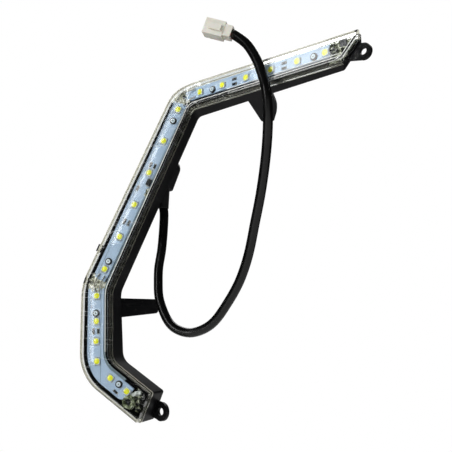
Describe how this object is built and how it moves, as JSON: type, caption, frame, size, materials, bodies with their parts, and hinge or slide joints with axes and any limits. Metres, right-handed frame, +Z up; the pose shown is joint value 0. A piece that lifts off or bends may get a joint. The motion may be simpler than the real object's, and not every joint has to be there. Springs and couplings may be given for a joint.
{
  "type": "daytime running light",
  "caption": "Bent strip running lamp for a vehicle front: black tray with mounting ears and tabs, clear cover, diode boards inside, and a cord that ends in a plug.",
  "frame": {"origin": "centre of the screw hole in the lower ear, on the ear's front face", "axes": "+X to the right as the lamp is seen from the front, +Z up, the light leaves towards -Y"},
  "size_m": [0.1881, 0.1015, 0.2477],
  "materials": {
    "tray_black": "moulded black, fine grain",
    "lens_clear": "clear moulded plastic, polished",
    "sealant": "matt",
    "board_white": "satin white solder mask on aluminium",
    "diode_white": "glossy with a yellow phosphor face",
    "chip_black": "satin with tinned ends",
    "diode_black": "satin moulded body with tinned leads",
    "screw_zinc": "zinc plated",
    "screw_dark": "dark plated",
    "tinned_wire": "bare tinned wire",
    "wire_red": "satin insulation",
    "wire_black": "satin insulation",
    "boot_rubber": "satin",
    "cord_jacket": "glossy vinyl jacket",
    "nylon_natural": "natural nylon, slightly glossy",
    "terminal_brass": "tin plated brass",
    "cap_rubber": "satin"
  },
  "bodies": {
    "root": {"rear_housing": "tray_black", "front_lens": "lens_clear", "sealing_bead": "sealant", "board_upper": "board_white", "board_middle": "board_white", "board_lower": "board_white", "led_1": "diode_white", "led_2": "diode_white", "led_3": "diode_white", "led_4": "diode_white", "led_5": "diode_white", "led_6": "diode_white", "led_7": "diode_white", "led_8": "diode_white", "led_9": "diode_white", "led_10": "diode_white", "led_11": "diode_white", "led_12": "diode_white", "led_13": "diode_white", "led_14": "diode_white", "led_15": "diode_white", "led_16": "diode_white", "led_17": "diode_white", "led_18": "diode_white", "resistors_upper": "chip_black", "resistors_middle": "chip_black", "resistors_lower": "chip_black", "blocking_diode": "diode_black", "board_screws": "screw_zinc", "lens_screws": "screw_dark", "link_wires_upper": "tinned_wire", "link_wires_lower": "tinned_wire", "supply_wire_plus": "wire_red", "supply_wire_minus": "wire_black", "cord_boot": "boot_rubber", "cord": "cord_jacket", "connector_housing": "nylon_natural", "connector_terminals": "terminal_brass", "breather_cap": "cap_rubber"}
  },
  "joints": []
}
